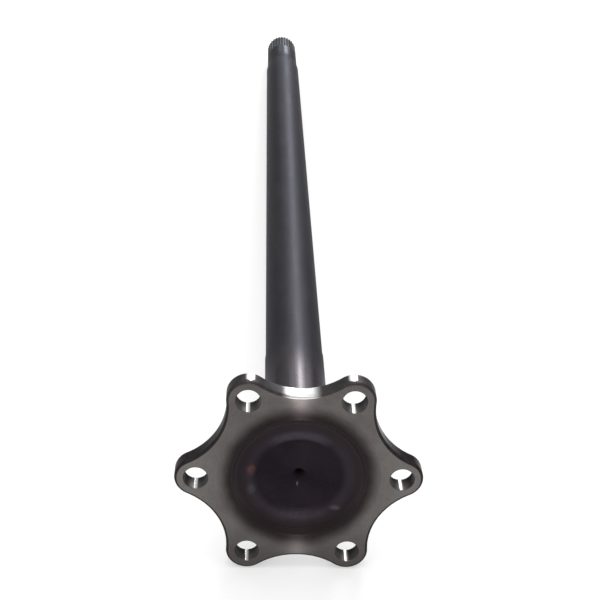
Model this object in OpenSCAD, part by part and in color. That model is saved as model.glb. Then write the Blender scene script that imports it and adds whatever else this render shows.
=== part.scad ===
// Axle shaft: a forged and turned steel bar with a lobed bolting flange at one end and a spline at the other.
// It lies as it comes to rest on a floor, on the two lowest lobes of the flange and on the end of the spline.

/* [Flange] */
// Diameter of the circle on which the bolt holes sit
bolt_circle_d = 110; // [100:1:120]
// Number of bolt holes, each in a lobe of its own
bolt_count = 6; // [5:1:8]
// Diameter of each bolt hole
bolt_hole_d = 13; // [11:0.5:15]
// Metal between a bolt hole and the end of its lobe
lobe_wall = 4.9; // [3.5:0.1:6]
// How far the flange draws in between two lobes, inwards from the bolt circle
waist_drop = 4.5; // [3:0.5:8]
// Thickness of the flange
flange_t = 10; // [9:0.5:14]
// Countersink at both ends of each bolt hole
hole_break = 0.3; // [0.2:0.1:1]

/* [Dish in the outer face] */
// Diameter of the dish where it leaves the outer face
dish_d = 73; // [66:1:78]
// Width of the dish's rounded wall
dish_wall_w = 3; // [2:0.5:5]
// Width of the ledge at the foot of the wall
ledge_w = 3.5; // [2:0.5:5]
// Depth of the ledge below the outer face
ledge_depth = 2.2; // [1:0.2:3]
// Width of the slope from the ledge to the floor
slope_w = 8.5; // [5:0.5:11]
// Depth of the floor below the ledge
floor_drop = 1.8; // [0.6:0.2:2.4]

/* [Shaft] */
// Length from the outer face of the flange to the end of the spline
shaft_l = 920; // [700:5:1100]
// Diameter of the shaft between its ground seat and the spline
shaft_d = 36; // [32:0.5:40]
// How far the ground seat stands above the shaft, on the radius
seat_rise = 0.4; // [0.2:0.1:1]
// Distance from the outer face to the far end of the ground seat
seat_end = 130; // [80:5:240]
// Length of the taper at the far end of the ground seat
seat_taper = 1.2; // [0.5:0.1:4]
// Radius of the fillet between the flange and the shaft
root_r = 12; // [6:1:16]

/* [Spline] */
// Number of spline teeth
tooth_count = 30; // [24:1:34]
// Length of the turned-down end, with its plain neck and its teeth
spline_l = 100; // [52:1:130]
// Length of the teeth, from where their grooves begin
tooth_l = 42; // [25:1:50]
// How far this end is turned down below the shaft, on the radius
spline_drop = 1.2; // [0.8:0.1:3]
// Length of the shoulder between the shaft and the plain neck
shoulder_l = 2.7; // [1:0.1:6]
// Depth of the grooves between the teeth
tooth_depth = 1.1; // [0.8:0.1:1.3]
// Width of each groove at its foot
groove_w = 1; // [0.7:0.1:1.2]
// Length over which each groove runs out at its inner end
runout_l = 4.5; // [2:0.5:8]
// Chamfer on the end of the spline
lead_in = 1.6; // [1.4:0.1:2.2]

/* [Lathe centres] */
// Diameter of the countersunk centre in each end, at its mouth
centre_d = 8; // [6:0.5:10]
// Diameter of the pilot hole below each centre
centre_pilot_d = 3.2; // [2:0.2:5]
// Length of the pilot hole below each centre
centre_pilot_l = 6.5; // [4:0.5:10]

/* [Hidden] */
$fn = 96;

bolt_circle_r = bolt_circle_d / 2;
bolt_hole_r = bolt_hole_d / 2;
lobe_r = bolt_hole_r + lobe_wall;
lobe_step = 360 / bolt_count;
half_step = lobe_step / 2;

// Each valley is an arc that blends into the lobes beside it, and bites a hair into them so that they cross.
waist_r = bolt_circle_r - waist_drop;
waist_lift = waist_r - bolt_circle_r * cos(half_step);
half_gap = bolt_circle_r * sin(half_step);
blend_r = (waist_lift ^ 2 + half_gap ^ 2 - lobe_r ^ 2) / (2 * (lobe_r - waist_lift));
valley_centre_r = waist_r + blend_r;
blend_bite = 0.005;
valley_r = blend_r + blend_bite;

// The dish, from its mouth inwards
dish_r = dish_d / 2;
wall_foot_r = dish_r - dish_wall_w;
ledge_end_r = wall_foot_r - ledge_w;
floor_r = ledge_end_r - slope_w;
floor_depth = ledge_depth + floor_drop;
curve_steps = 8;
// Sweeps of the dish's curves: level at both ends, or only where the curve starts
level_both_ends = 180;
level_at_start = 90;

shaft_r = shaft_d / 2;
seat_r = shaft_r + seat_rise;
spline_r = shaft_r - spline_drop;
spline_start = shaft_l - spline_l;

// The grooves rise out of the metal where the plain neck begins.
tooth_step = 360 / tooth_count;
groove_start = shaft_l - tooth_l;
groove_foot_r = spline_r - tooth_depth;
groove_flank_angle = 30;

centre_r = centre_d / 2;
centre_pilot_r = centre_pilot_d / 2;
centre_half_angle = 30;
centre_cone_l = (centre_r - centre_pilot_r) / tan(centre_half_angle);

// How far a cutting shape reaches past the metal that it cuts
clear = 1;

// Direction of the lowest point around the axis
down = 90;

// At rest the axis falls from the flange to the spline, because the lobes stand further below it.
lobe_foot = bolt_circle_r * cos(half_step) + lobe_r;
spline_foot_z = shaft_l - lead_in;
rest_tilt = atan((lobe_foot - spline_r) / (spline_foot_z - flange_t));
rest_h = lobe_foot * cos(rest_tilt) + flange_t * sin(rest_tilt);
rest_front = -lobe_foot * sin(rest_tilt);
rest_back = shaft_l * cos(rest_tilt) + (spline_r - lead_in) * sin(rest_tilt);

// From 0 to 1 along the part of a cosine wave that sweep, an angle, covers
function ease(t, sweep) = (1 - cos(sweep * t)) / (1 - cos(sweep));

// Points of an eased curve between two points of a turned profile, without its last one
function eased(from, to, sweep) = [
    for (i = [0 : curve_steps - 1])
        let (t = i / curve_steps)
            [from.x + (to.x - from.x) * t, from.y + (to.y - from.y) * ease(t, sweep)]
];

// Copies of a shape around the axis, starting beside the lowest point
module around(count, first) {
    for (i = [0 : count - 1])
        rotate(down + first + 360 / count * i)
            children();
}

// The flange's outline: a lobe around each bolt hole, with an arc cut in between each two
module flange_outline() {
    difference() {
        union() {
            polygon([
                for (i = [0 : 2 * bolt_count - 1])
                    let (r = i % 2 == 0 ? valley_centre_r : bolt_circle_r, a = down + half_step * i)
                        [r * cos(a), r * sin(a)]
            ]);
            around(bolt_count, half_step)
                translate([bolt_circle_r, 0])
                    circle(lobe_r);
        }
        around(bolt_count, 0)
            translate([valley_centre_r, 0])
                circle(valley_r);
    }
}

module bolt_hole() {
    flare = hole_break + clear;
    translate([0, 0, -clear])
        cylinder(r = bolt_hole_r, h = flange_t + 2 * clear);
    translate([0, 0, -clear])
        cylinder(r1 = bolt_hole_r + flare, r2 = bolt_hole_r, h = flare);
    translate([0, 0, flange_t - hole_break])
        cylinder(r1 = bolt_hole_r, r2 = bolt_hole_r + flare, h = flare);
}

// The dish, from its mouth over a ledge to its floor, which a crisp edge bounds
module dish() {
    mouth = [dish_r, 0];
    wall_foot = [wall_foot_r, ledge_depth];
    ledge_end = [ledge_end_r, ledge_depth];
    floor_edge = [floor_r, floor_depth];
    rotate_extrude()
        polygon(concat(
            [[0, -clear], [dish_r, -clear]],
            eased(mouth, wall_foot, level_both_ends),
            [wall_foot],
            eased(ledge_end, floor_edge, level_at_start),
            [floor_edge, [0, floor_depth]]
        ));
}

// A countersunk centre with its pilot hole, going up from its mouth
module lathe_centre() {
    translate([0, 0, -clear])
        cylinder(r = centre_r, h = clear);
    cylinder(r1 = centre_r, r2 = centre_pilot_r, h = centre_cone_l);
    cylinder(r = centre_pilot_r, h = centre_cone_l + centre_pilot_l);
}

module flange() {
    difference() {
        linear_extrude(flange_t)
            flange_outline();
        around(bolt_count, half_step)
            translate([bolt_circle_r, 0])
                bolt_hole();
    }
}

// The turned bar, from inside the flange to its chamfered end
module bar() {
    rotate_extrude() {
        polygon([
            [0, flange_t / 2],
            [seat_r, flange_t / 2],
            [seat_r, seat_end],
            [shaft_r, seat_end + seat_taper],
            [shaft_r, spline_start - shoulder_l],
            [spline_r, spline_start],
            [spline_r, shaft_l - lead_in],
            [spline_r - lead_in, shaft_l],
            [0, shaft_l]
        ]);
        translate([seat_r, flange_t])
            difference() {
                square(root_r);
                translate([root_r, root_r])
                    circle(root_r);
            }
    }
}

// One groove between two teeth, with its foot inwards and its flanks opening outwards
module groove() {
    mouth = tooth_depth + clear;
    foot_w = groove_w / 2;
    mouth_w = foot_w + mouth * tan(groove_flank_angle);
    translate([groove_foot_r, 0, groove_start - clear])
        linear_extrude(tooth_l + 2 * clear)
            polygon([[0, -foot_w], [mouth, -mouth_w], [mouth, mouth_w], [0, foot_w]]);
}

// All the grooves, with the cone on which they run out
module grooves() {
    rise = tooth_depth / runout_l;
    difference() {
        around(tooth_count, tooth_step / 2)
            groove();
        translate([0, 0, groove_start - 2 * clear])
            cylinder(
                r1 = spline_r + 2 * clear * rise,
                r2 = groove_foot_r - clear * rise,
                h = runout_l + 3 * clear
            );
    }
}

module axle_shaft() {
    color([0.36, 0.35, 0.35])
        translate([0, -(rest_front + rest_back) / 2, rest_h])
            rotate([-90 - rest_tilt, 0, 0])
                difference() {
                    union() {
                        flange();
                        bar();
                    }
                    dish();
                    grooves();
                    translate([0, 0, floor_depth])
                        lathe_centre();
                    translate([0, 0, shaft_l])
                        mirror([0, 0, 1])
                            lathe_centre();
                }
}

axle_shaft();
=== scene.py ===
"""Axle shaft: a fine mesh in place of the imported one, with its finishes, floor, lights and camera."""
import math
from collections import namedtuple

import bmesh
import bpy
import numpy as np
from mathutils import Matrix, Vector
from mathutils.geometry import delaunay_2d_cdt


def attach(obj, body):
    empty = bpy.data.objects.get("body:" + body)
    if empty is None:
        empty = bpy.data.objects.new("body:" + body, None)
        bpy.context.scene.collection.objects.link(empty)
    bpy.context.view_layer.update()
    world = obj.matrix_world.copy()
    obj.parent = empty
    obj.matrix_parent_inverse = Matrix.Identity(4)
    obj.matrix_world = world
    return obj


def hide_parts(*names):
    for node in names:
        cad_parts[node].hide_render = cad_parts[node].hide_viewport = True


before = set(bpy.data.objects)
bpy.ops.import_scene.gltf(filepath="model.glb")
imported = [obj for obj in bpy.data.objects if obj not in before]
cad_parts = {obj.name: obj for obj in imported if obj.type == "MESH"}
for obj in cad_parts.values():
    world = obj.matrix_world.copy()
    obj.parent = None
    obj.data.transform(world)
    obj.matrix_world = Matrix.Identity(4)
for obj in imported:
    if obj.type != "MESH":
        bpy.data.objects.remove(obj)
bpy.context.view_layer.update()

# Sizes of the shaft in millimetres, the same as in its source
BOLT_CIRCLE_R = 55.0
BOLT_COUNT = 6
BOLT_HOLE_R = 6.5
LOBE_WALL = 4.9
WAIST_DROP = 4.5
FLANGE_T = 10.0
HOLE_BREAK = 0.3
DISH_R = 36.5
DISH_WALL_W = 3.0
LEDGE_W = 3.5
LEDGE_DEPTH = 2.2
SLOPE_W = 8.5
FLOOR_DROP = 1.8
SHAFT_L = 920.0
SHAFT_R = 18.0
SEAT_RISE = 0.4
SEAT_END = 130.0
SEAT_TAPER = 1.2
ROOT_R = 12.0
TOOTH_COUNT = 30
SPLINE_L = 100.0
TOOTH_L = 42.0
SPLINE_DROP = 1.2
SHOULDER_L = 2.7
TOOTH_DEPTH = 1.1
GROOVE_W = 1.0
GROOVE_FLANK = math.radians(30)
RUNOUT_L = 4.5
LEAD_IN = 1.6
CENTRE_R = 4.0
CENTRE_HALF_ANGLE = math.radians(30)
PILOT_R = 1.6
PILOT_L = 6.5

# Small breaks on the edges, which the solid leaves sharp
RIM_ROUND = 1.4
CENTRE_BREAK_OUT = 0.25
CENTRE_BREAK_IN = 0.1
CENTRE_BREAK_DEPTH = 0.275

# Sizes and places that follow from these
HALF_STEP = math.pi / BOLT_COUNT
LOBE_R = BOLT_HOLE_R + LOBE_WALL
WAIST_R = BOLT_CIRCLE_R - WAIST_DROP
WALL_FOOT_R = DISH_R - DISH_WALL_W
LEDGE_END_R = WALL_FOOT_R - LEDGE_W
FLOOR_R = LEDGE_END_R - SLOPE_W
FLOOR_DEPTH = LEDGE_DEPTH + FLOOR_DROP
SEAT_R = SHAFT_R + SEAT_RISE
SPLINE_R = SHAFT_R - SPLINE_DROP
NECK_START = SHAFT_L - SPLINE_L
GROOVE_START = SHAFT_L - TOOTH_L
GROOVE_FOOT_R = SPLINE_R - TOOTH_DEPTH
LEAD_START = SHAFT_L - LEAD_IN
TOOTH_PITCH = 2 * math.pi / TOOTH_COUNT
CENTRE_MOUTH_R = CENTRE_R + CENTRE_BREAK_OUT
CENTRE_CONE_L = (CENTRE_R - PILOT_R) / math.tan(CENTRE_HALF_ANGLE)

# At rest the axis falls from the flange to the spline, because the lobes stand further below it.
LOBE_FOOT = BOLT_CIRCLE_R * math.cos(HALF_STEP) + LOBE_R
REST_TILT = math.atan((LOBE_FOOT - SPLINE_R) / (LEAD_START - FLANGE_T))
REST_TURN = -math.pi / 2 - REST_TILT
REST_H = LOBE_FOOT * math.cos(REST_TILT) + FLANGE_T * math.sin(REST_TILT)
REST_FRONT = -LOBE_FOOT * math.sin(REST_TILT)
REST_BACK = SHAFT_L * math.cos(REST_TILT) + (SPLINE_R - LEAD_IN) * math.sin(REST_TILT)
FACE_AT = (0.0, -(REST_FRONT + REST_BACK) / 2, REST_H)
MM = 0.001

# How many pieces curved and long things are cut up into
LOBE_STEPS = 28
VALLEY_STEPS = 24
ROUND_STEPS = 5
RIM_STEPS = 5
HOLE_STEPS = 64
BORE_STEPS = 4
DISH_STEPS = 240
WALL_STEPS = 14
LEDGE_STEPS = 3
SLOPE_STEPS = 16
FLOOR_STEPS = 9
ROOT_STEPS = 12
SEAT_STEPS = 7
SHAFT_STEPS = 27
NECK_STEPS = 3
RUNOUT_STEPS = 6
TOOTH_STEPS = 5
END_STEPS = 4

# The net of points in flat faces: how far apart they are, and how clear of the edges
NET_STEP = 3.2
NET_CLEAR = 1.7

# Edges that turn by more than this stay sharp.
SHARP_ANGLE = math.radians(32)

FINISHES = (
    "turned_face", "forged_dish", "forged_rim", "drilled_bore",
    "turned_bar", "ground_seat", "turned_neck", "cut_spline",
)

# The skins of the bar, between whose two colours stains wander
Skin = namedtuple("Skin", "dark light roughness")
BAR_SKIN = Skin(dark=(0.0525, 0.0515, 0.0555), light=(0.062, 0.061, 0.066), roughness=0.46)
SEAT_SKIN = Skin(dark=(0.089, 0.0815, 0.086), light=(0.103, 0.095, 0.0995), roughness=0.28)
NECK_SKIN = Skin(dark=(0.054, 0.0545, 0.057), light=(0.063, 0.0635, 0.067), roughness=0.2)
SPLINE_SKIN = Skin(dark=(0.058, 0.061, 0.063), light=(0.07, 0.0735, 0.076), roughness=0.5)

# Changes along the bar to another skin. Its roughness holds within half_line of a line along the top.
Blend = namedtuple("Blend", "start end skin half_line")
SEAT_BLEND = Blend(start=72.0, end=SEAT_END, skin=BAR_SKIN, half_line=SHAFT_R * 2)
NECK_BLEND = Blend(start=NECK_START + 4.0, end=NECK_START + 38.0, skin=NECK_SKIN, half_line=4.0)
TOP_LINE_X = 2.0
TOP_LINE_FADE = 5.0

# How much of its shine dark steel keeps at a grazing angle
BAR_EDGE = (0.43, 0.43, 0.445)
NECK_EDGE = (0.4, 0.4, 0.41)
RIM_EDGE = (0.6, 0.6, 0.6)
BORE_EDGE = (0.55, 0.55, 0.55)
FULL_EDGE = (1.0, 1.0, 1.0)

# The floor, in metres, with the light that it gives off towards the eye
FLOOR_HALF = 60.0
FLOOR_COLOUR = (0.55, 0.55, 0.55)
FLOOR_GLOW = 0.46

# The sky's light near the horizon and overhead, and how steeply up each of them starts
SKY_COLOUR = (1.0, 0.99, 0.985)
SKY_LOW = 0.4
SKY_HIGH = 1.0
SKY_LOW_AT = -0.05
SKY_HIGH_AT = 0.65

# The photograph's view, found from the bolt holes, the outline and the bar: metres, degrees and millimetres
CAMERA_AT = (-0.022277, -0.959885, 0.442187)
CAMERA_TURN = (61.32315, -1.67755, -1.31653)
SENSOR_W = 36.0
LENS = 70.434


class Shell:
    """The points and faces of one closed mesh, in millimetres, with the finish of each face."""

    def __init__(self):
        self.points = []
        self.faces = []
        self.finishes = []

    def ring(self, points):
        """Adds a closed row of points and gives their numbers."""
        first = len(self.points)
        self.points.extend(tuple(float(v) for v in p) for p in points)
        return list(range(first, len(self.points)))

    def face(self, corners, finish):
        self.faces.append(tuple(corners))
        self.finishes.append(FINISHES.index(finish))

    def bridge(self, a, b, finish):
        """Joins two rows of as many points by a band of four-sided faces."""
        for i in range(len(a)):
            j = (i + 1) % len(a)
            self.face((a[i], a[j], b[j], b[i]), finish)

    def bands(self, rings, finish):
        """Joins each row to the next."""
        for a, b in zip(rings, rings[1:]):
            self.bridge(a, b, finish)

    def cap(self, ring, middle, finish):
        """Closes a row of points with a fan to its middle."""
        centre = self.ring([middle])[0]
        for i in range(len(ring)):
            self.face((ring[i], ring[(i + 1) % len(ring)], centre), finish)

    def plane(self, outline, openings, z, finish):
        """Fills the flat ground between an outline and the openings in it, with an even net of points."""
        rows = [outline, *openings]
        numbers = [n for row in rows for n in row]
        flat = [Vector(self.points[n][:2]) for n in numbers]
        edges, first = [], 0
        for row in rows:
            edges += [(first + i, first + (i + 1) % len(row)) for i in range(len(row))]
            first += len(row)
        shapes = [np.array([self.points[n][:2] for n in row]) for row in rows]
        for p in net_points(shapes):
            numbers += self.ring([(*p, z)])
            flat.append(Vector(p))
        _, _, triangles, origins, *_ = delaunay_2d_cdt(flat, edges, [], 0, 1e-7)
        middles = np.array([np.mean([flat[origins[c][0]] for c in t], axis=0) for t in triangles])
        for t, keep in zip(triangles, on_ground(shapes, middles)):
            if keep:
                self.face([numbers[origins[c][0]] for c in t], finish)


def inside(shape, points):
    """Which of the points lie inside a closed outline."""
    result = np.zeros(len(points), bool)
    for (x0, y0), (x1, y1) in zip(shape, np.roll(shape, -1, axis=0)):
        if y0 != y1:
            crosses = (y0 > points[:, 1]) != (y1 > points[:, 1])
            result ^= crosses & (points[:, 0] < (x1 - x0) * (points[:, 1] - y0) / (y1 - y0) + x0)
    return result


def on_ground(shapes, points):
    """Which of the points lie inside the first outline and outside the others."""
    result = inside(shapes[0], points)
    for shape in shapes[1:]:
        result &= ~inside(shape, points)
    return result


def net_points(shapes):
    """Points of an even triangular net on the ground between outlines, clear of all their edges."""
    low, high = shapes[0].min(axis=0), shapes[0].max(axis=0)
    row_step = NET_STEP * math.sqrt(3) / 2
    points = []
    for i, y in enumerate(np.arange(low[1], high[1], row_step)):
        for x in np.arange(low[0] + (i % 2) * NET_STEP / 2, high[0], NET_STEP):
            points.append((x, y))
    points = np.array(points)
    edge = np.concatenate(shapes)
    far = np.array([np.min(np.hypot(*(edge - p).T)) > NET_CLEAR for p in points])
    return [tuple(p) for p in points[on_ground(shapes, points) & far]]


def arc(centre, radius, start, end, steps):
    """Points of an arc, without its last one."""
    turns = start + (end - start) * np.arange(steps) / steps
    return [(centre[0] + radius * math.cos(t), centre[1] + radius * math.sin(t)) for t in turns]


def circle(radius, steps, centre=(0.0, 0.0)):
    return arc(centre, radius, 0.0, 2 * math.pi, steps)


def level(points, z):
    return [(x, y, z) for x, y in points]


def shares(steps):
    """Even shares of a way, from after its start to its end."""
    return [i / steps for i in range(1, steps + 1)]


def ease(t, sweep):
    """From 0 to 1 along the part of a cosine wave that sweep, an angle, covers."""
    return (1 - math.cos(sweep * t)) / (1 - math.cos(sweep))


def quarter(steps):
    """Shares of a quarter round: how far along the first side and along the second."""
    turns = [math.pi / 2 * i / steps for i in range(steps + 1)]
    return [(math.sin(t), 1 - math.cos(t)) for t in turns]


def flange_outline(inset):
    """The lobed outline, drawn in by inset: a lobe around each bolt hole, and an arc between each two."""
    lift = WAIST_R - BOLT_CIRCLE_R * math.cos(HALF_STEP)
    half_gap = BOLT_CIRCLE_R * math.sin(HALF_STEP)
    valley_r = (lift ** 2 + half_gap ** 2 - LOBE_R ** 2) / (2 * (LOBE_R - lift))
    points = []
    for i in range(BOLT_COUNT):
        turn = 2 * HALF_STEP * i
        lobe = BOLT_CIRCLE_R * np.array([math.cos(turn), math.sin(turn)])
        middle = turn + HALF_STEP
        valley = (WAIST_R + valley_r) * np.array([math.cos(middle), math.sin(middle)])
        reach = math.atan2(valley[1] - lobe[1], valley[0] - lobe[0])
        half_lobe = (reach - turn) % (2 * math.pi)
        points += arc(lobe, LOBE_R - inset, turn - half_lobe, turn + half_lobe, LOBE_STEPS)
        inward = middle + math.pi
        back = math.atan2(lobe[1] - valley[1], lobe[0] - valley[0])
        half_valley = (inward - back) % (2 * math.pi)
        half_valley = min(half_valley, 2 * math.pi - half_valley)
        points += arc(valley, valley_r + inset, inward + half_valley, inward - half_valley, VALLEY_STEPS)
    return points


def groove_turn(radius):
    """Half the angle that a groove takes up at a radius."""
    return math.asin((GROOVE_W / 2 + (radius - GROOVE_FOOT_R) * math.tan(GROOVE_FLANK)) / radius)


def groove_corners(foot_r):
    """Corners of a groove and its tooth: how far each turns from the groove's middle, and its radius."""
    mouth = groove_turn(SPLINE_R)
    foot = groove_turn(foot_r)
    side = (mouth + foot) / 2
    side_r = (SPLINE_R + foot_r) / 2
    return [
        (-mouth, SPLINE_R), (-side, side_r), (-foot, foot_r), (0.0, foot_r),
        (foot, foot_r), (side, side_r), (mouth, SPLINE_R), (TOOTH_PITCH / 2, SPLINE_R),
    ]


def around_axis(corners, z):
    """A row around the axis that repeats the corners at each groove, starting beside the lowest point."""
    points = []
    for i in range(TOOTH_COUNT):
        groove = math.pi / 2 + TOOTH_PITCH / 2 + TOOTH_PITCH * i
        for turn, radius in corners:
            points.append((radius * math.cos(groove + turn), radius * math.sin(groove + turn), z))
    return points


def toothed_row(foot_r, top_r, z):
    """A row around the spline, where its grooves reach down to foot_r and its teeth stand up to top_r."""
    return around_axis([(turn, min(radius, top_r)) for turn, radius in groove_corners(foot_r)], z)


def bar_row(radius, z):
    """A round row whose points lie where the corners of the teeth do."""
    return around_axis([(turn, radius) for turn, _ in groove_corners(GROOVE_FOOT_R)], z)


def build_centre(shell, mouth, z, way, round_row, finish):
    """A countersunk lathe centre with its pilot hole, from the row at its mouth to the side that way says."""
    depths = [
        (CENTRE_R - CENTRE_BREAK_IN, CENTRE_BREAK_DEPTH),
        ((CENTRE_R + PILOT_R) / 2, CENTRE_CONE_L / 2),
        (PILOT_R, CENTRE_CONE_L),
        (PILOT_R, CENTRE_CONE_L + PILOT_L),
    ]
    rings = [mouth] + [shell.ring(level(round_row(r), z + way * depth)) for r, depth in depths]
    shell.bands(rings, finish)
    shell.cap(rings[-1], (0.0, 0.0, z + way * depths[-1][1]), finish)


def build_dish(shell):
    """The dish in the outer face, down to the lathe centre in its floor. Gives the row at its mouth."""
    rows = [(DISH_R, 0.0)]
    rows += [(DISH_R - DISH_WALL_W * t, LEDGE_DEPTH * ease(t, math.pi)) for t in shares(WALL_STEPS)]
    rows += [(WALL_FOOT_R - LEDGE_W * t, LEDGE_DEPTH) for t in shares(LEDGE_STEPS)]
    for t in shares(SLOPE_STEPS):
        rows.append((LEDGE_END_R - SLOPE_W * t, LEDGE_DEPTH + FLOOR_DROP * ease(t, math.pi / 2)))
    rows += [(FLOOR_R + (CENTRE_MOUTH_R - FLOOR_R) * t, FLOOR_DEPTH) for t in shares(FLOOR_STEPS)]
    rings = [shell.ring(level(circle(r, DISH_STEPS), z)) for r, z in rows]
    shell.bands(rings, "forged_dish")
    build_centre(shell, rings[-1], FLOOR_DEPTH, 1, lambda r: circle(r, DISH_STEPS), "forged_dish")
    return rings[0]


def build_bar(shell):
    """The turned bar with its ground seat and its spline. Gives the row where it leaves the flange."""
    root_end = FLANGE_T + ROOT_R
    rows = [(SEAT_R + ROOT_R * (1 - a), FLANGE_T + ROOT_R * b) for a, b in quarter(ROOT_STEPS)]
    rows += [(SEAT_R, root_end + (SEAT_END - root_end) * t) for t in shares(SEAT_STEPS)]
    seat = [shell.ring(bar_row(r, z)) for r, z in rows]
    shell.bands(seat, "ground_seat")

    lengths = np.linspace(SEAT_END + SEAT_TAPER, NECK_START - SHOULDER_L, SHAFT_STEPS + 1)
    shaft = seat[-1:] + [shell.ring(bar_row(SHAFT_R, z)) for z in lengths]
    shell.bands(shaft, "turned_bar")

    lengths = np.linspace(NECK_START, GROOVE_START, NECK_STEPS + 1)
    neck = shaft[-1:] + [shell.ring(bar_row(SPLINE_R, z)) for z in lengths]
    shell.bands(neck, "turned_neck")

    teeth_start = GROOVE_START + RUNOUT_L
    rows = []
    for t in shares(RUNOUT_STEPS):
        rows.append(toothed_row(SPLINE_R - TOOTH_DEPTH * t, SPLINE_R, GROOVE_START + RUNOUT_L * t))
    for t in shares(TOOTH_STEPS):
        rows.append(toothed_row(GROOVE_FOOT_R, SPLINE_R, teeth_start + (LEAD_START - teeth_start) * t))
    for drop in (TOOTH_DEPTH / 2, TOOTH_DEPTH, LEAD_IN):
        rows.append(toothed_row(GROOVE_FOOT_R, SPLINE_R - drop, LEAD_START + drop))
    end_r = SPLINE_R - LEAD_IN
    rows += [bar_row(end_r + (CENTRE_MOUTH_R - end_r) * t, SHAFT_L) for t in shares(END_STEPS)]
    spline = neck[-1:] + [shell.ring(row) for row in rows]
    shell.bands(spline, "cut_spline")
    build_centre(shell, spline[-1], SHAFT_L, -1, lambda r: [p[:2] for p in bar_row(r, 0.0)], "drilled_bore")
    return seat[0]


def build_flange(shell, dish_mouth, bar_root):
    """The lobed flange: its rim, its two flat faces and its bolt holes."""
    front = [(RIM_ROUND * (1 - a), RIM_ROUND * b) for a, b in quarter(ROUND_STEPS)]
    back = [(inset, FLANGE_T - z) for inset, z in reversed(front)]
    middle = [(0.0, RIM_ROUND + (FLANGE_T - 2 * RIM_ROUND) * t) for t in shares(RIM_STEPS)[:-1]]
    rim = [shell.ring(level(flange_outline(inset), z)) for inset, z in front + middle + back]
    shell.bands(rim, "forged_rim")

    wall = [HOLE_BREAK + (FLANGE_T - 2 * HOLE_BREAK) * t for t in (0.0, *shares(BORE_STEPS))]
    mouth_r = BOLT_HOLE_R + HOLE_BREAK
    hole = [(mouth_r, 0.0), *[(BOLT_HOLE_R, z) for z in wall], (mouth_r, FLANGE_T)]
    fronts, backs = [dish_mouth], [bar_root]
    for i in range(BOLT_COUNT):
        turn = 2 * HALF_STEP * i
        centre = (BOLT_CIRCLE_R * math.cos(turn), BOLT_CIRCLE_R * math.sin(turn))
        bore = [shell.ring(level(circle(r, HOLE_STEPS, centre), z)) for r, z in hole]
        shell.bands(bore, "drilled_bore")
        fronts.append(bore[0])
        backs.append(bore[-1])
    shell.plane(rim[0], fronts, 0.0, "turned_face")
    shell.plane(rim[-1], backs, FLANGE_T, "turned_face")


def build_shaft():
    """The whole shaft as one closed mesh object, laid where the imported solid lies."""
    shell = Shell()
    dish_mouth = build_dish(shell)
    bar_root = build_bar(shell)
    build_flange(shell, dish_mouth, bar_root)
    mesh = bpy.data.meshes.new("axle_shaft_steel")
    lie = Matrix.Translation(FACE_AT) @ Matrix.Rotation(REST_TURN, 4, "X")
    mesh.from_pydata([(lie @ Vector(p)) * MM for p in shell.points], [], shell.faces)
    mesh.polygons.foreach_set("material_index", shell.finishes)
    net = bmesh.new()
    net.from_mesh(mesh)
    bmesh.ops.recalc_face_normals(net, faces=net.faces)
    for face in net.faces:
        face.smooth = True
    for edge in net.edges:
        edge.smooth = edge.calc_face_angle(0.0) < SHARP_ANGLE
    net.to_mesh(mesh)
    net.free()
    piece = bpy.data.objects.new("axle_shaft_steel", mesh)
    bpy.context.scene.collection.objects.link(piece)
    weighted = piece.modifiers.new("flat_faces_stay_flat", "WEIGHTED_NORMAL")
    weighted.keep_sharp = True
    return piece


class Nodes:
    """The node tree of a material or a world. An input is a number, a colour or another node's output."""

    def __init__(self, owner):
        owner.use_nodes = True
        self.tree = owner.node_tree
        self.tree.nodes.clear()

    def put(self, socket, value):
        if isinstance(value, bpy.types.NodeSocket):
            self.tree.links.new(value, socket)
        elif isinstance(value, (int, float)):
            socket.default_value = value
        elif len(socket.default_value) == 4:
            socket.default_value = (*value, 1.0)
        else:
            socket.default_value = value

    def node(self, kind, settings=None, **inputs):
        """Adds a node. The name of an input is written with underscores for its spaces."""
        made = self.tree.nodes.new(kind)
        for key, value in (settings or {}).items():
            setattr(made, key, value)
        for key, value in inputs.items():
            self.put(made.inputs[key.replace("_", " ")], value)
        return made

    def math(self, operation, a, b=0.0):
        made = self.node("ShaderNodeMath", {"operation": operation})
        self.put(made.inputs[0], a)
        self.put(made.inputs[1], b)
        return made.outputs[0]

    def step(self, value, low, high, start=0.0, end=1.0):
        """Goes smoothly from start to end while value goes from low to high."""
        settings = {"interpolation_type": "SMOOTHSTEP"}
        ends = {"From_Min": low, "From_Max": high, "To_Min": start, "To_Max": end}
        return self.node("ShaderNodeMapRange", settings, Value=value, **ends).outputs["Result"]

    def close(self, kind, shader):
        """Ends the tree with an output node."""
        self.put(self.node(kind).inputs["Surface"], shader.outputs[0])


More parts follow.
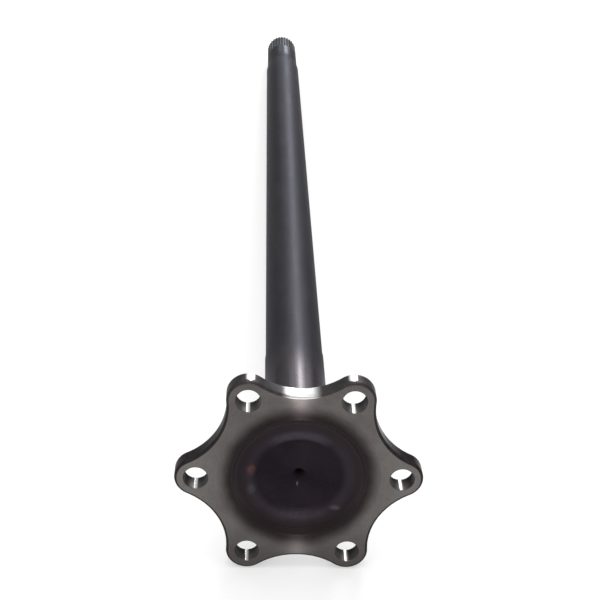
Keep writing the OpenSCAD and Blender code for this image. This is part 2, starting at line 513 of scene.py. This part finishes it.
class Finish(Nodes):
    """A material of the shaft, in its own millimetres: x is right, y down and along from the outer face."""

    def __init__(self, name):
        self.material = bpy.data.materials.new(name)
        super().__init__(self.material)
        place = self.node("ShaderNodeTexCoord").outputs["Object"]
        upright = self.node(
            "ShaderNodeMapping", {"vector_type": "TEXTURE"},
            Vector=place, Location=[v * MM for v in FACE_AT], Rotation=(REST_TURN, 0.0, 0.0),
        )
        to_mm = {"Vector": upright.outputs[0], "Scale": 1 / MM}
        self.place = self.node("ShaderNodeVectorMath", {"operation": "SCALE"}, **to_mm).outputs[0]
        self.x, self.y, self.along = self.node("ShaderNodeSeparateXYZ", Vector=self.place).outputs
        self.across = self.node("ShaderNodeCombineXYZ", X=self.x, Y=self.y).outputs[0]
        self.radius = self.length(self.across)

    def length(self, vector):
        return self.node("ShaderNodeVectorMath", {"operation": "LENGTH"}, Vector=vector).outputs["Value"]

    def away(self, x, y, tall):
        """Distance across the axis from a point, where tall stretches the circles around it along y."""
        right = self.math("SUBTRACT", self.x, x)
        down = self.math("DIVIDE", self.math("SUBTRACT", self.y, y), tall)
        return self.length(self.node("ShaderNodeCombineXYZ", X=right, Y=down).outputs[0])

    def off(self, value, middle):
        """How far a value is from a middle one, on either side."""
        return self.math("ABSOLUTE", self.math("SUBTRACT", value, middle))

    def both(self, a, b):
        return self.math("MULTIPLY", a, b)

    def fade(self, value, low, high, share=1.0):
        """Goes smoothly from a share down to nothing while value goes from low to high."""
        return self.step(value, low, high, share, 0.0)

    def between(self, value, start, full, thin, end):
        """Rises from 0 to 1 while value goes from start to full, and falls again from thin to end."""
        return self.both(self.step(value, start, full), self.fade(value, thin, end))

    def mix(self, share, a, b):
        made = self.node("ShaderNodeMix", {"data_type": "RGBA"})
        self.put(made.inputs[0], share)
        self.put(made.inputs[6], a)
        self.put(made.inputs[7], b)
        return made.outputs[2]

    def coats(self, colour, *layers):
        """Lays colours over one another. Each layer is the share that it covers, and its colour."""
        for share, coat in layers:
            colour = self.mix(share, colour, coat)
        return colour

    def clouds(self, scale, detail, rough=0.55, stretch=(1.0, 1.0, 1.0)):
        """Noise in space, from 0 to 1. Scale is in bumps per millimetre."""
        place = self.node("ShaderNodeVectorMath", {"operation": "MULTIPLY"}, Vector=self.place)
        self.put(place.inputs[1], stretch)
        grain = {"Scale": scale, "Detail": detail, "Roughness": rough}
        return self.node("ShaderNodeTexNoise", None, Vector=place.outputs[0], **grain).outputs[0]

    def lines(self, value, scale, detail):
        """Tool marks: noise that changes along one value only, from 0 to 1."""
        grain = {"Scale": scale, "Detail": detail, "Roughness": 0.6}
        return self.node("ShaderNodeTexNoise", {"noise_dimensions": "1D"}, W=value, **grain).outputs[0]

    def bump(self, height, depth, strength, below=None):
        """Roughens the surface, or the bumps below, by a depth in millimetres."""
        made = self.node("ShaderNodeBump", None, Height=height, Distance=depth * MM, Strength=strength)
        if below is not None:
            self.put(made.inputs["Normal"], below)
        return made.outputs[0]

    def steel(self, colour, roughness, normal, rings=0.0, edge=FULL_EDGE, bare=1.0):
        """Ends the material as steel.

        Rings says how much its shine is drawn out across the marks of a turning tool. Edge is how much shine
        it keeps at a grazing angle. Bare is 0 where dull grime covers the metal.
        """
        surface = {"Base_Color": colour, "Roughness": roughness, "Metallic": bare, "Normal": normal}
        shader = self.node("ShaderNodeBsdfPrincipled", None, **surface)
        self.put(shader.inputs["Specular IOR Level"], 0.0)
        self.put(shader.inputs["Specular Tint"], edge)
        if rings:
            self.put(shader.inputs["Anisotropic"], rings)
            turn = {"Vector": self.across, "Rotation": (REST_TURN, 0.0, 0.0)}
            outward = self.node("ShaderNodeVectorRotate", {"rotation_type": "EULER_XYZ"}, **turn)
            self.put(shader.inputs["Tangent"], outward.outputs[0])
        self.close("ShaderNodeOutputMaterial", shader)
        return self.material


def turned_face():
    """Faced steel with fine rings around the axis, stained dark towards the dish."""
    f = Finish("turned_face")
    rings = f.lines(f.radius, 1.6, 4.0)
    blotches = f.step(f.clouds(0.06, 4.0), 0.35, 0.65)
    smears = f.step(f.clouds(0.35, 3.0), 0.4, 0.8)
    # Painted light and shade, as light falls on the face: lighter towards the sides and the left, darker
    # towards the bottom.
    painted_sides = f.step(f.math("ABSOLUTE", f.x), 36.0, 60.0, 0.0, 0.8)
    painted_left = f.fade(f.x, -60.0, -40.0, 0.35)
    low = f.step(f.y, 32.0, 54.0, 0.0, 0.75)

    # The stain's edge wanders by up to 1.5 mm, and reaches further out above and below the dish.
    wander = f.both(f.math("SUBTRACT", f.clouds(0.09, 3.0), 0.5), 3.0)
    wander = f.math("SUBTRACT", wander, f.both(f.both(f.y, f.y), 0.0011))
    stain = f.fade(f.math("ADD", f.radius, wander), 36.4, 45.0)

    colour = f.coats(
        f.mix(blotches, (0.121, 0.109, 0.1075), (0.143, 0.131, 0.1255)),
        (painted_sides, (0.165, 0.155, 0.145)),
        (painted_left, (0.178, 0.166, 0.157)),
        (low, (0.078, 0.0685, 0.0705)),
        (f.both(smears, 0.25), (0.078, 0.071, 0.069)),
        (f.both(rings, 0.25), (0.075, 0.068, 0.066)),
        (stain, (0.026, 0.0195, 0.021)),
    )
    roughness = f.math("ADD", f.step(rings, 0.3, 0.7, 0.27, 0.33), f.both(stain, 0.06))
    return f.steel(colour, roughness, f.bump(rings, 0.02, 0.35), rings=1.0)


def forged_dish():
    """Skin that no tool has touched since the forge: near black, with a purple tinge and shallow scale. Light
    and shade are painted on it.
    """
    f = Finish("forged_dish")
    heat = f.step(f.clouds(0.05, 3.0), 0.35, 0.65)
    scale = f.clouds(0.5, 5.0, 0.6)
    pits = f.clouds(1.6, 3.0, 0.5)
    floor = f.mix(heat, (0.0125, 0.0095, 0.0135), (0.0165, 0.0125, 0.016))
    # The slope is lighter than the floor: partly a lighter scale, partly a painted highlight.
    slope_scale_and_highlight = f.mix(heat, (0.025, 0.02, 0.0265), (0.0295, 0.0235, 0.0295))
    ledge = f.mix(heat, (0.021, 0.0155, 0.0185), (0.025, 0.0185, 0.021))

    # Painted light and shade on the wall: it is lighter where it is steep, lighter above the middle and
    # darker below it.
    down = f.math("DIVIDE", f.y, f.radius)
    lower_painted_shade = f.step(down, 0.5, 0.95)
    upper_painted_light = f.fade(down, -0.97, -0.72)
    wall_ends_painted_shade = f.mix(lower_painted_shade, (0.027, 0.021, 0.023), (0.0165, 0.0125, 0.0138))
    wall = f.mix(lower_painted_shade, (0.036, 0.029, 0.031), (0.022, 0.017, 0.018))
    wall = f.mix(upper_painted_light, wall, (0.045, 0.036, 0.04))
    steep = f.between(f.radius, WALL_FOOT_R + 0.2, WALL_FOOT_R + 1.1, DISH_R - 1.1, DISH_R - 0.3)
    arc_highlight_band = f.between(f.radius, FLOOR_R, FLOOR_R + 2.5, LEDGE_END_R - 4.0, LEDGE_END_R - 0.5)

    # Painted reflections and glints: a red reflection and two pale glints, each where the scale lets it
    # through, and a pale glint below the lathe centre.
    through = f.step(scale, 0.3, 0.6, 0.35, 1.0)
    painted_red_reflection = f.fade(f.away(-25.6, -3.8, 1.5), 0.2, 3.4, 0.85)
    painted_left_glint = f.fade(f.away(-25.5, 8.4, 1.4), 0.2, 3.6, 0.7)
    painted_right_glint = f.fade(f.away(20.1, 20.0, 0.55), 0.2, 4.2, 0.9)
    painted_centre_glint = f.fade(f.away(-0.8, 5.6, 3.0), 0.1, 0.7, 0.8)

    colour = f.coats(
        floor,
        (f.step(f.radius, FLOOR_R + 0.6, FLOOR_R + 5.2), slope_scale_and_highlight),
        (f.step(f.radius, LEDGE_END_R - 3.5, LEDGE_END_R + 1.5), ledge),
        (f.step(f.radius, WALL_FOOT_R - 1.0, WALL_FOOT_R), wall_ends_painted_shade),
        (steep, wall),
        # Painted highlight: a pale bluish arc across the upper part of the slope.
        (f.both(upper_painted_light, arc_highlight_band), (0.049, 0.0405, 0.055)),
        (f.both(f.step(scale, 0.5, 0.75), 0.35), (0.028, 0.022, 0.026)),
        (f.both(painted_red_reflection, through), (0.105, 0.048, 0.045)),
        (f.both(painted_left_glint, through), (0.058, 0.054, 0.058)),
        (f.both(painted_right_glint, through), (0.068, 0.062, 0.066)),
        (painted_centre_glint, (0.1, 0.095, 0.1)),
    )
    bare = f.step(f.radius, CENTRE_R - 0.2, CENTRE_R + 0.2)
    colour = f.mix(bare, (0.019, 0.015, 0.018), colour)
    normal = f.bump(pits, 0.1, 0.25, f.bump(scale, 0.3, 0.3))
    return f.steel(colour, f.step(scale, 0.3, 0.7, 0.38, 0.5), normal, rings=0.4, bare=bare)


def forged_rim():
    """The sides of the flange: forged and trimmed, with painted light and shade on tops and sides and three
    painted highlights on top.
    """
    f = Finish("forged_rim")
    skin = f.clouds(0.4, 5.0, 0.6)
    strokes = f.clouds(0.8, 3.0, 0.6, (1.0, 1.0, 0.12))
    patches = f.step(skin, 0.35, 0.7)
    # Painted light and shade: the tops are lighter and the sides darker, as light falls from above.
    painted_sides = f.mix(patches, (0.026, 0.023, 0.024), (0.036, 0.032, 0.033))
    painted_light_tops = f.mix(patches, (0.042, 0.038, 0.039), (0.056, 0.051, 0.052))

    # One painted highlight is in the top valley, and one on each upper lobe narrows towards the outer face.
    aside = f.math("ABSOLUTE", f.x)
    valley = f.both(f.fade(aside, 5.0, 11.0), f.fade(f.y, -49.0, -44.0))
    highlight_x = 26.4
    off_highlight = f.math("ADD", f.off(aside, highlight_x), f.fade(f.along, 0.6, 3.8, 3.2))
    lobe_highlights = f.both(f.fade(off_highlight, 1.3, 2.9), f.fade(f.y, -57.0, -53.0))
    painted_highlight = f.math("MAXIMUM", valley, lobe_highlights)

    colour = f.coats(painted_light_tops, (f.step(f.y, -54.0, -40.0), painted_sides), (painted_highlight, (0.5, 0.49, 0.485)))
    dull = f.both(f.fade(painted_highlight, 0.0, 1.0, 0.2), f.fade(f.x, 34.0, 42.0))
    dull = f.math("MAXIMUM", dull, f.fade(f.along, 1.0, 2.2, 0.2))
    roughness = f.math("ADD", f.step(strokes, 0.3, 0.7, 0.18, 0.26), dull)
    return f.steel(colour, roughness, f.bump(skin, 0.1, 0.25), edge=RIM_EDGE)


def drilled_bore():
    """The walls of drilled holes, with painted shade that darkens them with depth, a drill's rings and
    painted highlight lines along their tops and bottoms.
    """
    f = Finish("drilled_bore")
    rings = f.lines(f.along, 4.0, 2.0)
    # Painted highlights: a pale line along the top and the bottom of each bore.
    aside = f.math("ABSOLUTE", f.x)
    outer = f.off(aside, BOLT_CIRCLE_R)
    inner = f.off(aside, BOLT_CIRCLE_R / 2)
    painted_highlight_lines = f.fade(f.math("MINIMUM", outer, inner), 0.4, 1.3)
    colour = f.coats(
        f.mix(rings, (0.09, 0.085, 0.081), (0.102, 0.097, 0.093)),
        # Painted shade: the wall darkens with depth.
        (f.step(f.along, 1.0, 8.5), (0.028, 0.0265, 0.0255)),
        (painted_highlight_lines, (0.3, 0.295, 0.29)),
    )
    roughness = f.math("ADD", f.step(rings, 0.3, 0.7, -0.03, 0.03), f.step(painted_highlight_lines, 0.0, 1.0, 0.45, 0.15))
    return f.steel(colour, roughness, f.bump(rings, 0.02, 0.3), edge=BORE_EDGE)


def bar_finish(name, skin, marks, edge=BAR_EDGE, blend=None, painted_groove_light=None):
    """Turned or ground bar: fine rings along its length, faint streaks and a few stains.

    Marks is how many tool marks go to a millimetre. Painted_groove_light is the colour at the foot of the
    teeth, painted lighter against the shade in the grooves.
    """
    f = Finish(name)
    rings = f.lines(f.along, marks, 4.0)
    bands = f.step(f.lines(f.along, 0.03, 3.0), 0.45, 0.75)
    stains = f.clouds(0.05, 4.0, 0.6, (1.0, 1.0, 0.35))
    streaks = f.step(f.clouds(0.7, 3.0, 0.6, (1.0, 1.0, 0.03)), 0.55, 0.8)
    dark, light, roughness = skin
    if blend:
        share = f.step(f.along, blend.start, blend.end)
        dark = f.mix(share, dark, blend.skin.dark)
        light = f.mix(share, light, blend.skin.light)
        line = f.fade(f.off(f.x, TOP_LINE_X), blend.half_line, blend.half_line + TOP_LINE_FADE)
        roughness = f.step(f.both(share, line), 0.0, 1.0, roughness, blend.skin.roughness)
    colour = f.coats(
        f.mix(f.step(stains, 0.35, 0.68), dark, light),
        (f.both(bands, 0.3), light),
        (f.both(streaks, 0.35), dark),
    )
    # Painted light: the foot of the teeth is lighter, against the shade in the grooves.
    if painted_groove_light:
        colour = f.mix(f.fade(f.radius, GROOVE_FOOT_R, SPLINE_R - 0.1), colour, painted_groove_light)
    wear = f.math("ADD", f.step(rings, 0.3, 0.7, -0.05, 0.05), f.step(stains, 0.3, 0.7, -0.03, 0.04))
    return f.steel(colour, f.math("ADD", wear, roughness), f.bump(rings, 0.02, 0.3), edge=edge)


def cover_with_finishes(piece):
    made = {
        "turned_face": turned_face(),
        "forged_dish": forged_dish(),
        "forged_rim": forged_rim(),
        "drilled_bore": drilled_bore(),
        "turned_bar": bar_finish("turned_bar", BAR_SKIN, marks=1.1),
        "ground_seat": bar_finish("ground_seat", SEAT_SKIN, marks=3.0, blend=SEAT_BLEND),
        "turned_neck": bar_finish("turned_neck", BAR_SKIN, marks=2.0, edge=NECK_EDGE, blend=NECK_BLEND),
        "cut_spline": bar_finish("cut_spline", SPLINE_SKIN, marks=2.0, painted_groove_light=(0.15, 0.156, 0.16)),
    }
    for name in FINISHES:
        piece.data.materials.append(made[name])


def build_floor():
    """A white floor that keeps the shadow. Its glow shows to the eye, in reflections and in glass only."""
    mesh = bpy.data.meshes.new("floor")
    corners = ((-1, -1), (1, -1), (1, 1), (-1, 1))
    mesh.from_pydata([(FLOOR_HALF * x, FLOOR_HALF * y, 0.0) for x, y in corners], [], [(0, 1, 2, 3)])
    floor = bpy.data.objects.new("floor", mesh)
    bpy.context.scene.collection.objects.link(floor)
    paint = bpy.data.materials.new("floor_paint")
    nodes = Nodes(paint)
    ways = nodes.node("ShaderNodeLightPath").outputs
    seen = nodes.math("MAXIMUM", ways["Is Camera Ray"], ways["Is Glossy Ray"])
    seen = nodes.math("MAXIMUM", seen, ways["Is Transmission Ray"])
    diffuse = nodes.node("ShaderNodeBsdfDiffuse", Color=FLOOR_COLOUR)
    glow = nodes.node("ShaderNodeEmission", Strength=nodes.math("MULTIPLY", seen, FLOOR_GLOW))
    together = nodes.node("ShaderNodeAddShader")
    nodes.put(together.inputs[0], diffuse.outputs[0])
    nodes.put(together.inputs[1], glow.outputs[0])
    nodes.close("ShaderNodeOutputMaterial", together)
    mesh.materials.append(paint)


def build_world():
    """Soft light that is brightest overhead and dim near the horizon."""
    world = bpy.data.worlds.new("studio")
    bpy.context.scene.world = world
    nodes = Nodes(world)
    way = nodes.node("ShaderNodeTexCoord").outputs["Generated"]
    height = nodes.node("ShaderNodeSeparateXYZ", Vector=way).outputs["Z"]
    strength = nodes.step(height, SKY_LOW_AT, SKY_HIGH_AT, SKY_LOW, SKY_HIGH)
    sky = nodes.node("ShaderNodeBackground", Color=SKY_COLOUR, Strength=strength)
    nodes.close("ShaderNodeOutputWorld", sky)


def build_lamp(name, at, aim, size, power, colour=(1.0, 1.0, 1.0)):
    """A flat lamp, with its place and its width and height in metres and its power in watts."""
    data = bpy.data.lights.new(name, "AREA")
    data.shape = "RECTANGLE"
    data.size, data.size_y = size
    data.energy = power
    data.color = colour
    lamp = bpy.data.objects.new(name, data)
    lamp.location = at
    lamp.rotation_euler = (Vector(aim) - Vector(at)).to_track_quat("-Z", "Y").to_euler()
    bpy.context.scene.collection.objects.link(lamp)


def build_lamps():
    """A cool window beyond the spline with a strip in it, a lamp overhead and a small one in front."""
    flange = (0.0, -0.458, 0.06)
    middle = (0.0, 0.0, 0.0)
    build_lamp("window", (1.75, 11.2, 3.8), flange, size=(8.0, 6.6), power=275.0, colour=(0.88, 0.93, 1.0))
    build_lamp("strip", (1.72, 10.5, 4.56), flange, size=(1.68, 6.4), power=370.0)
    build_lamp("overhead", (0.0, 0.0, 5.0), middle, size=(0.8, 3.2), power=60.0)
    build_lamp("front_lamp", (0.069, -2.4, 0.165), flange, size=(0.018, 0.2), power=6.5)


def build_camera():
    data = bpy.data.cameras.new("camera")
    data.sensor_width = SENSOR_W
    data.lens = LENS
    camera = bpy.data.objects.new("camera", data)
    camera.location = CAMERA_AT
    camera.rotation_euler = [math.radians(v) for v in CAMERA_TURN]
    bpy.context.scene.collection.objects.link(camera)
    bpy.context.scene.camera = camera


shaft = build_shaft()
cover_with_finishes(shaft)
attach(shaft, "root")
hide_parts("axle_shaft")
build_floor()
build_world()
build_lamps()
build_camera()
bpy.context.scene.view_settings.view_transform = "Standard"
